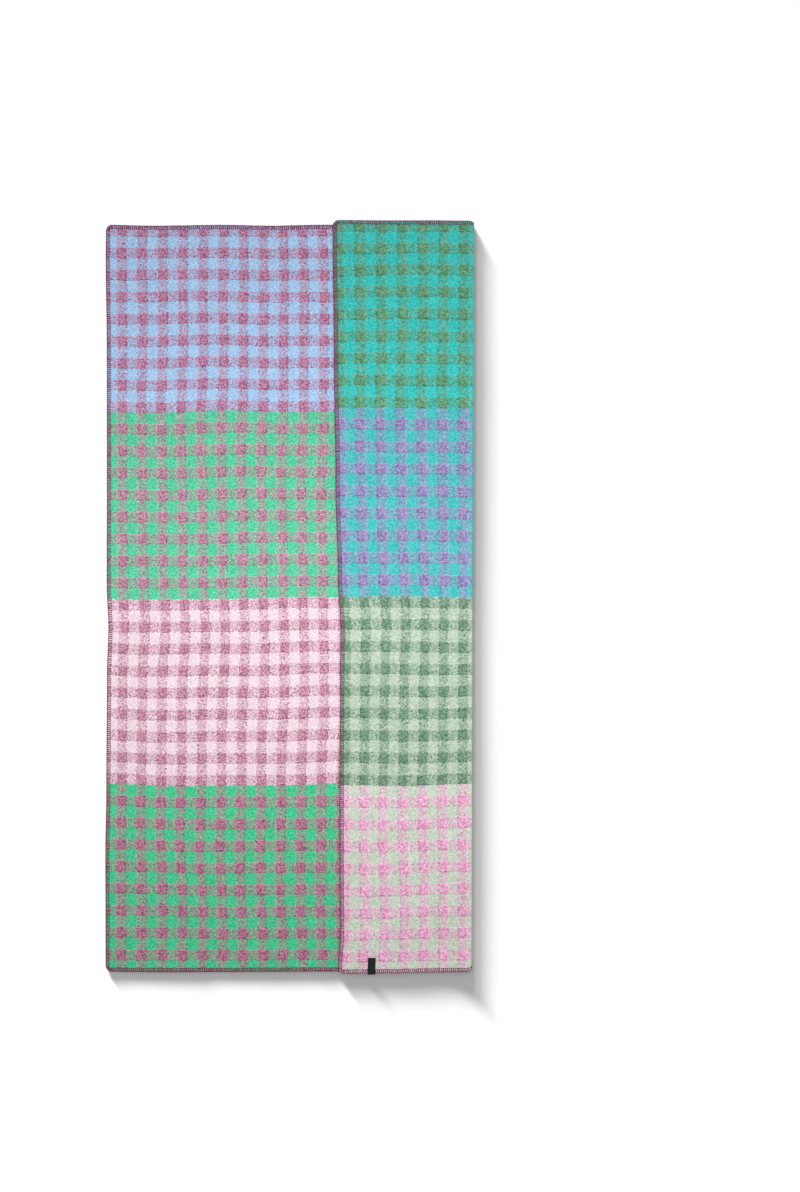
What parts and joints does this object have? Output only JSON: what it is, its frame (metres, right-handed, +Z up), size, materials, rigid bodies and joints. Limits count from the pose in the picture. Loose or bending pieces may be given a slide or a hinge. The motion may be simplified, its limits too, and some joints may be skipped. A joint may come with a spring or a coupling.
{
  "type": "wool blanket",
  "caption": "Felted wool blanket with an overlocked yarn edge and a small sewn label, lying flat with its right-hand part folded over on top.",
  "frame": {"origin": "on the surface that the blanket lies on, under the middle of the folded blanket", "axes": "+Z up, out of the surface that it lies on; +Y along its length, to the end that has no label; +X across it, towards the fold"},
  "size_m": [0.9851, 2.0137, 0.0156],
  "materials": {
    "wool": "thick felted wool in a check of plum with blue, green and pale pink, soft and matt",
    "label_ribbon": "finely ribbed black woven ribbon, slightly shiny"
  },
  "bodies": {
    "root": {"blanket": "wool", "label": "label_ribbon"}
  },
  "joints": []
}
